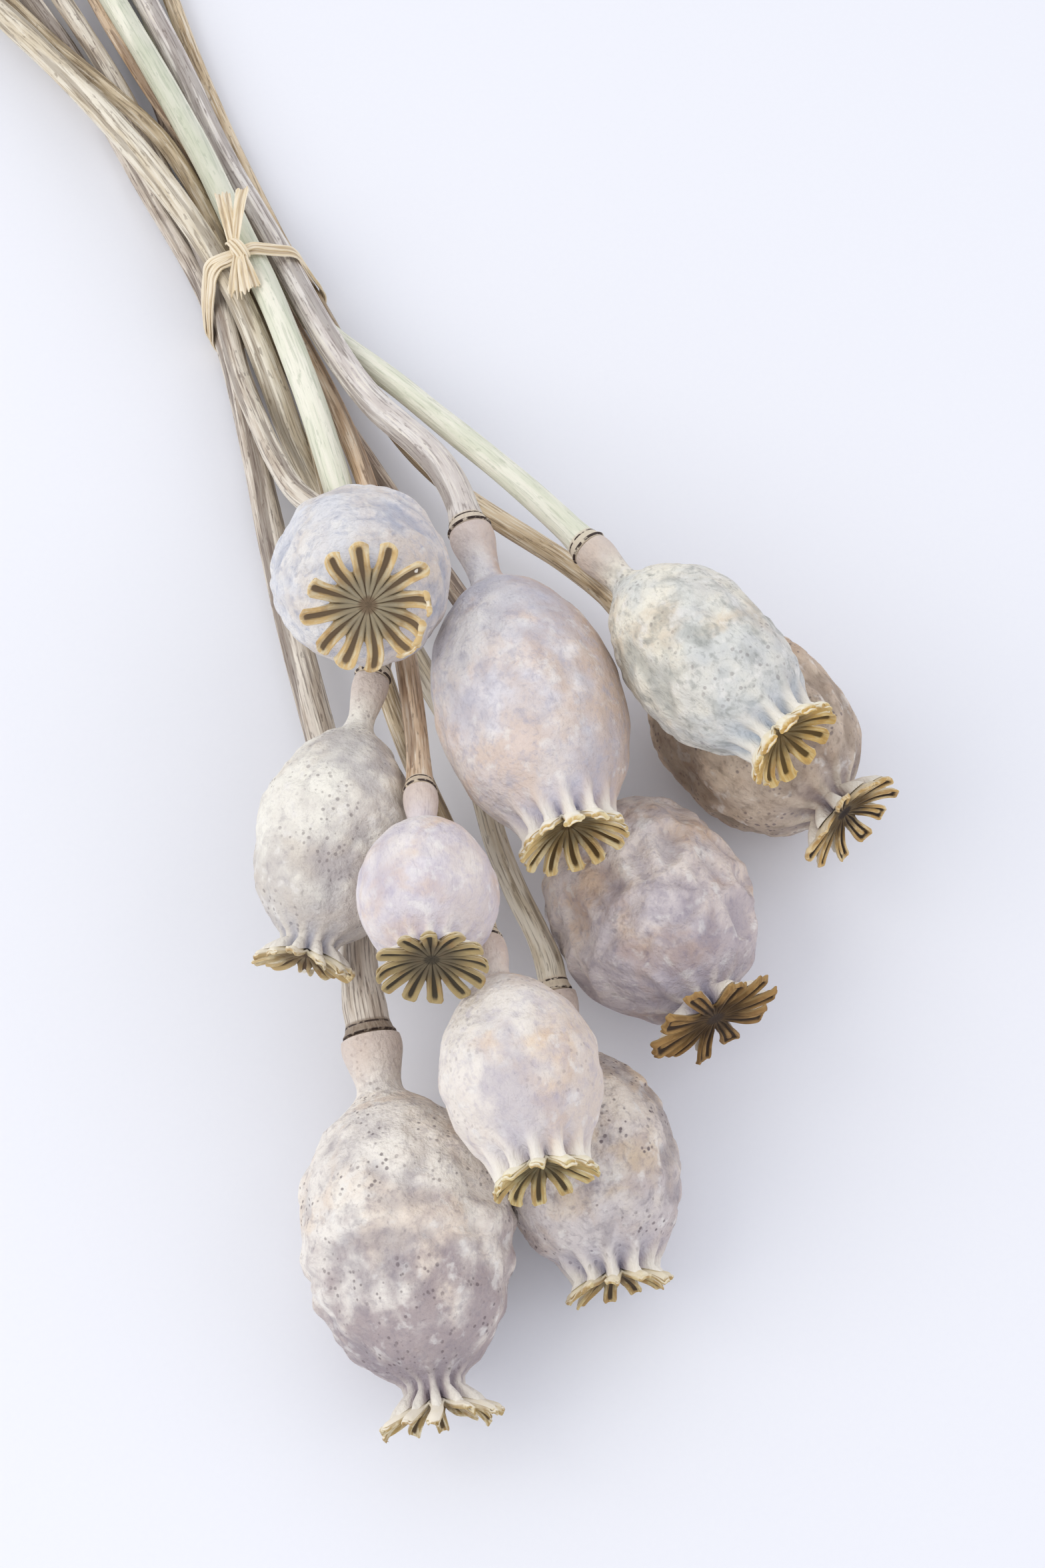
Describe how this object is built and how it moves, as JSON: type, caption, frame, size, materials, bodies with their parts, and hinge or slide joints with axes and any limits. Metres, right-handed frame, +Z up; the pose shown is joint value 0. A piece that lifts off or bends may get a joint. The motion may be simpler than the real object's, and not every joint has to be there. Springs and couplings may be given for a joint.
{
  "type": "tied bunch of dried poppy seed heads",
  "caption": "Bunch of dried poppy seed heads on long bare stems, tied once with raffia and lying on its side, with ribbed round capsules and lobed crowns.",
  "frame": {"origin": "centre of the bunch's bounding box, on the surface that it lies on", "axes": "+Z up, Y along the bunch with the seed heads towards -Y and the cut stem ends towards +Y"},
  "size_m": [0.1502, 0.4204, 0.0835],
  "materials": {
    "stem_pale_green": "dry striated stem, matt",
    "stem_mottled": "dry mottled stem, matt",
    "stem_grey_brown": "dry streaked stem, matt",
    "capsule_chalky": "dry chalky bloom over a wrinkled wall, matt",
    "crown_ochre": "dry velvety rays with ochre edges, matt",
    "raffia": "dry fibrous palm strip, slight sheen"
  },
  "bodies": {
    "root": {"stem_a": "stem_pale_green", "capsule_a": "capsule_chalky", "crown_a": "crown_ochre", "stem_b": "stem_mottled", "capsule_b": "capsule_chalky", "crown_b": "crown_ochre", "stem_c": "stem_pale_green", "capsule_c": "capsule_chalky", "crown_c": "crown_ochre", "stem_d": "stem_grey_brown", "capsule_d": "capsule_chalky", "crown_d": "crown_ochre", "stem_e": "stem_grey_brown", "capsule_e": "capsule_chalky", "crown_e": "crown_ochre", "stem_f": "stem_grey_brown", "capsule_f": "capsule_chalky", "crown_f": "crown_ochre", "stem_g": "stem_grey_brown", "capsule_g": "capsule_chalky", "crown_g": "crown_ochre", "stem_h": "stem_grey_brown", "capsule_h": "capsule_chalky", "crown_h": "crown_ochre", "stem_i": "stem_grey_brown", "capsule_i": "capsule_chalky", "crown_i": "crown_ochre", "stem_j": "stem_grey_brown", "capsule_j": "capsule_chalky", "crown_j": "crown_ochre", "raffia_tie": "raffia"}
  },
  "joints": []
}
